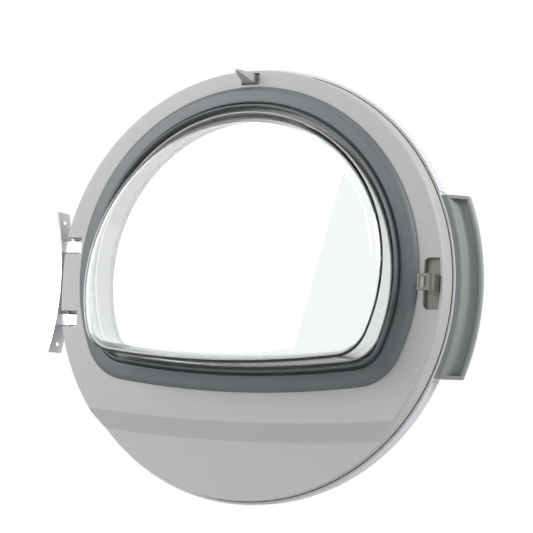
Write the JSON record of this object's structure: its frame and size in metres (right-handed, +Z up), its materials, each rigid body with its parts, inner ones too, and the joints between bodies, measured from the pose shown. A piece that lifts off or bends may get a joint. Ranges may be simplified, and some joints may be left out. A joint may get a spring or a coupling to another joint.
{
  "type": "dryer door",
  "caption": "Round front door of a tumble dryer with a clear D-shaped window bowl, sealing lip, side handle, latch hook, switch tab and a hinge plate that screws to the cabinet.",
  "frame": {"origin": "midway between the hinge plate's screw holes, on the face that lies against the cabinet", "axes": "+Z up along the hinge pin, +X from the hinge plate across the open door to its handle, +Y towards the door's front side; the machine side of the door faces -Y"},
  "size_m": [0.4633, 0.0969, 0.4384],
  "materials": {
    "hinge_steel": "satin zinc plated sheet",
    "bush_plastic": "natural nylon",
    "bright_steel": "bright zinc plated",
    "spring_steel": "dark spring steel",
    "bracket_steel": "galvanised sheet",
    "grey_plastic": "fine satin moulded grain",
    "seal_rubber": "smooth extruded rubber",
    "bowl_glass": "clear pressed",
    "gasket_rubber": "matte black",
    "surround_plastic": "satin moulded",
    "white_plastic": "smooth semi-gloss white",
    "cover_glass": "clear polished",
    "black_tape": "matte black",
    "handle_plastic": "satin grey",
    "latch_steel": "yellowish zinc plated sheet",
    "tab_plastic": "satin grey"
  },
  "bodies": {
    "hinge": {"hinge_plate": "hinge_steel", "hinge_bushes": "bush_plastic"},
    "door": {"hinge_pin": "bright_steel", "pin_clips": "spring_steel", "hinge_washers": "bush_plastic", "hinge_bracket": "bracket_steel", "bracket_screws": "bright_steel", "inner_frame": "grey_plastic", "door_seal": "seal_rubber", "window_bowl": "bowl_glass", "bowl_gasket": "gasket_rubber", "bowl_surround": "surround_plastic", "surround_screws": "bright_steel", "outer_frame": "white_plastic", "frame_screws": "bright_steel", "window_cover": "cover_glass", "cover_tape": "black_tape", "handle": "handle_plastic", "handle_screws": "bright_steel", "latch_hook": "latch_steel", "latch_screws": "bright_steel", "switch_tab": "tab_plastic", "tab_screws": "bright_steel"}
  },
  "joints": [
    {"name": "door_swing", "type": "hinge", "parent": "hinge", "child": "door", "pos_m": [0.023, 0.00805, 0], "axis": [0, 0, 1], "range_deg": [-90, 5]}
  ]
}
